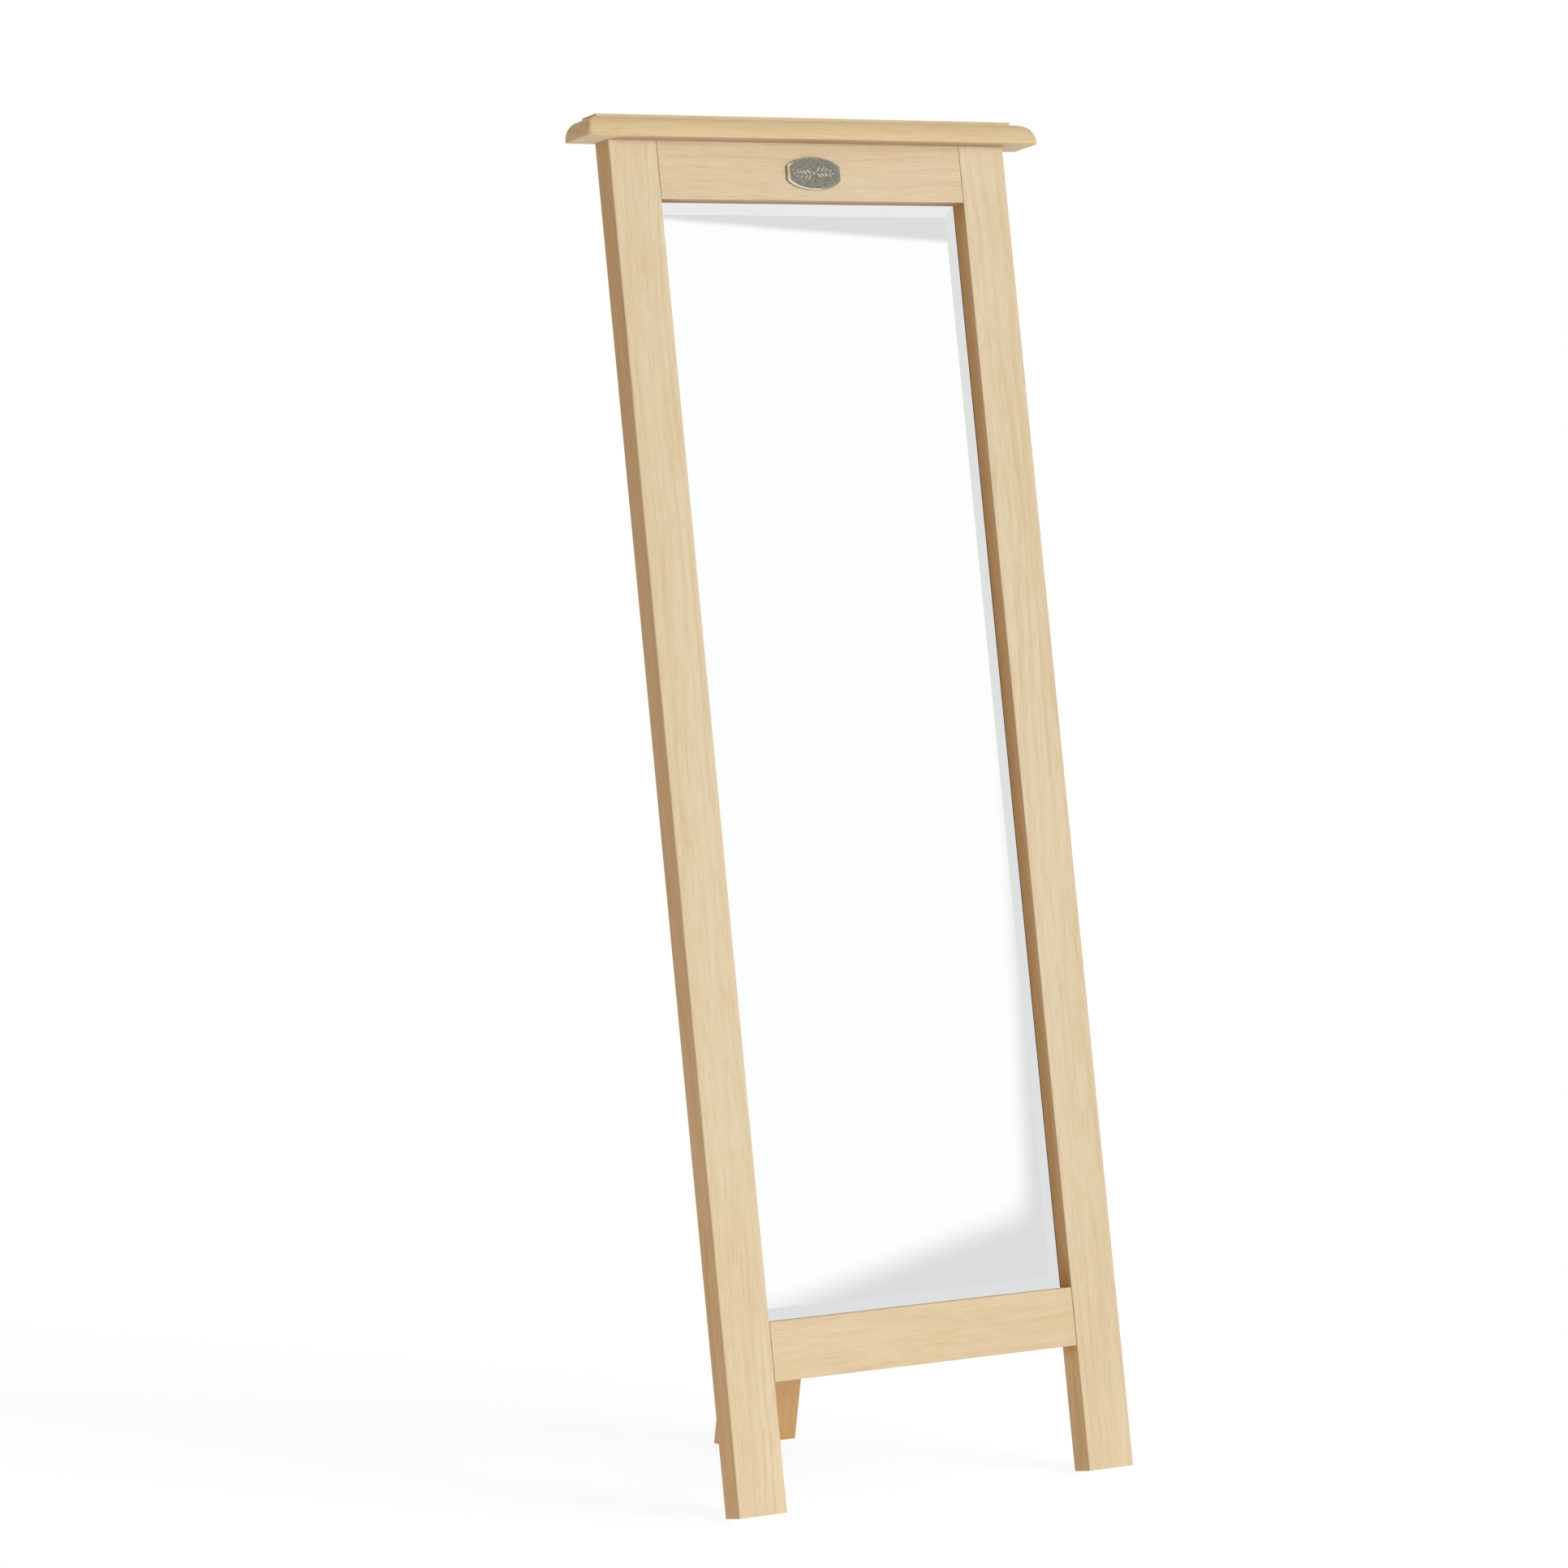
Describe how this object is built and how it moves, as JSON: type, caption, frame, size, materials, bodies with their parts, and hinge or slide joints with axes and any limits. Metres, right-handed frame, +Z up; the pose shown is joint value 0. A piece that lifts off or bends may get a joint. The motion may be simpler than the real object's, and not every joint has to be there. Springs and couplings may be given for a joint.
{
  "type": "cheval floor mirror",
  "caption": "Free-standing timber floor mirror: a leaning frame with a moulded cap and bevelled glass, held up by one rear leg on a hinge.",
  "frame": {"origin": "centre of the footprint on the floor: the overall box's bottom centre", "axes": "+Z up, +X to the right as seen from in front of the glass, -Y towards the viewer; the frame leans back towards +Y and the rear leg stands on the +Y side"},
  "size_m": [0.639, 0.4112, 1.6003],
  "materials": {
    "timber": "pale blond maple, clear satin lacquer",
    "dowel_beech": "unfinished beech",
    "silvered_glass": "polished float glass, silvered on its back",
    "black_felt": "black self-adhesive felt strip",
    "hardboard": "smooth brown hardboard",
    "zinc_plate": "bright zinc plate",
    "hinge_brass": "satin brass",
    "aged_pewter": "cast white metal, aged pewter finish with a worn bright rim"
  },
  "bodies": {
    "frame": {"left_stile": "timber", "right_stile": "timber", "top_rail": "timber", "bottom_rail": "timber", "cap_board": "timber", "hinge_rail": "timber", "rail_dowel_1": "dowel_beech", "rail_dowel_2": "dowel_beech", "rail_dowel_3": "dowel_beech", "rail_dowel_4": "dowel_beech", "rail_dowel_5": "dowel_beech", "rail_dowel_6": "dowel_beech", "rail_dowel_7": "dowel_beech", "rail_dowel_8": "dowel_beech", "cap_dowel_1": "dowel_beech", "cap_dowel_2": "dowel_beech", "cap_dowel_3": "dowel_beech", "cap_dowel_4": "dowel_beech", "backing_screw_1": "zinc_plate", "backing_screw_2": "zinc_plate", "backing_screw_3": "zinc_plate", "backing_screw_4": "zinc_plate", "backing_screw_5": "zinc_plate", "backing_screw_6": "zinc_plate", "backing_screw_7": "zinc_plate", "backing_screw_8": "zinc_plate", "backing_screw_9": "zinc_plate", "backing_screw_10": "zinc_plate", "backing_screw_11": "zinc_plate", "backing_screw_12": "zinc_plate", "rail_screw_1": "zinc_plate", "rail_screw_2": "zinc_plate", "rail_screw_3": "zinc_plate", "rail_screw_4": "zinc_plate", "hinge_frame_leaf": "hinge_brass", "hinge_pin": "hinge_brass", "frame_leaf_screw_1": "hinge_brass", "frame_leaf_screw_2": "hinge_brass", "frame_leaf_screw_3": "hinge_brass", "mirror_glass": "silvered_glass", "glazing_strip": "black_felt", "backing_board": "hardboard", "badge_plate": "aged_pewter"},
    "rear_leg": {"rear_leg": "timber", "hinge_leg_leaf": "hinge_brass", "leg_leaf_screw_1": "hinge_brass", "leg_leaf_screw_2": "hinge_brass", "leg_leaf_screw_3": "hinge_brass"}
  },
  "joints": [
    {"name": "leg_fold", "type": "hinge", "parent": "frame", "child": "rear_leg", "pos_m": [0, 0.01086, 0.90935], "axis": [-1, 0, 0], "range_deg": [0, 20]}
  ]
}
